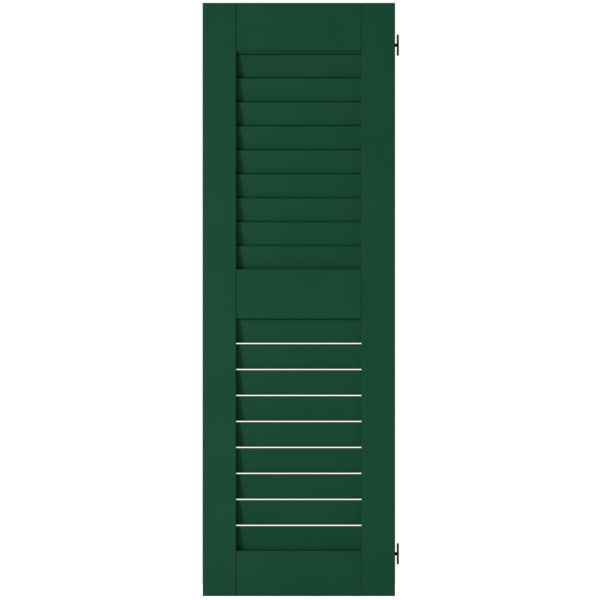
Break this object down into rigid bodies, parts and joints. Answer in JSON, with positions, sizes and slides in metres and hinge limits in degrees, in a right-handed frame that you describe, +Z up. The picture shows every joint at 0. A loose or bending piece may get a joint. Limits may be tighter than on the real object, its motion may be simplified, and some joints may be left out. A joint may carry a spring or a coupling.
{
  "type": "louvred shutter",
  "caption": "Hinged louvred shutter leaf: a painted stile-and-rail frame with fixed sloping slats above and below a middle rail, hung on small black butt hinges.",
  "frame": {"origin": "under the middle of the whole part's footprint, hinges included, at the foot of the leaf", "axes": "+Z up the leaf, -Y out of its front face, +X towards the hinges"},
  "size_m": [0.466, 0.0432, 1.408],
  "materials": {
    "green_paint": "satin dark green paint over wood",
    "dowel_wood": "bare beech",
    "hinge_metal": "black powder coat on steel",
    "screw_metal": "black oxide on steel"
  },
  "bodies": {
    "jamb_side": {"upper_jamb_plate": "hinge_metal", "upper_hinge_pin": "hinge_metal", "lower_jamb_plate": "hinge_metal", "lower_hinge_pin": "hinge_metal"},
    "leaf": {"free_stile": "green_paint", "hinge_stile": "green_paint", "top_rail": "green_paint", "middle_rail": "green_paint", "bottom_rail": "green_paint", "upper_slat_1": "green_paint", "upper_slat_2": "green_paint", "upper_slat_3": "green_paint", "upper_slat_4": "green_paint", "upper_slat_5": "green_paint", "upper_slat_6": "green_paint", "upper_slat_7": "green_paint", "upper_slat_8": "green_paint", "upper_slat_9": "green_paint", "lower_slat_1": "green_paint", "lower_slat_2": "green_paint", "lower_slat_3": "green_paint", "lower_slat_4": "green_paint", "lower_slat_5": "green_paint", "lower_slat_6": "green_paint", "lower_slat_7": "green_paint", "lower_slat_8": "green_paint", "lower_slat_9": "green_paint", "rail_dowels": "dowel_wood", "upper_leaf_plate": "hinge_metal", "upper_leaf_screws": "screw_metal", "lower_leaf_plate": "hinge_metal", "lower_leaf_screws": "screw_metal"}
  },
  "joints": [
    {"name": "swing", "type": "hinge", "parent": "jamb_side", "child": "leaf", "pos_m": [0.23035, -0.01908, 0.704], "axis": [0, 0, 1], "range_deg": [0, 180]}
  ]
}
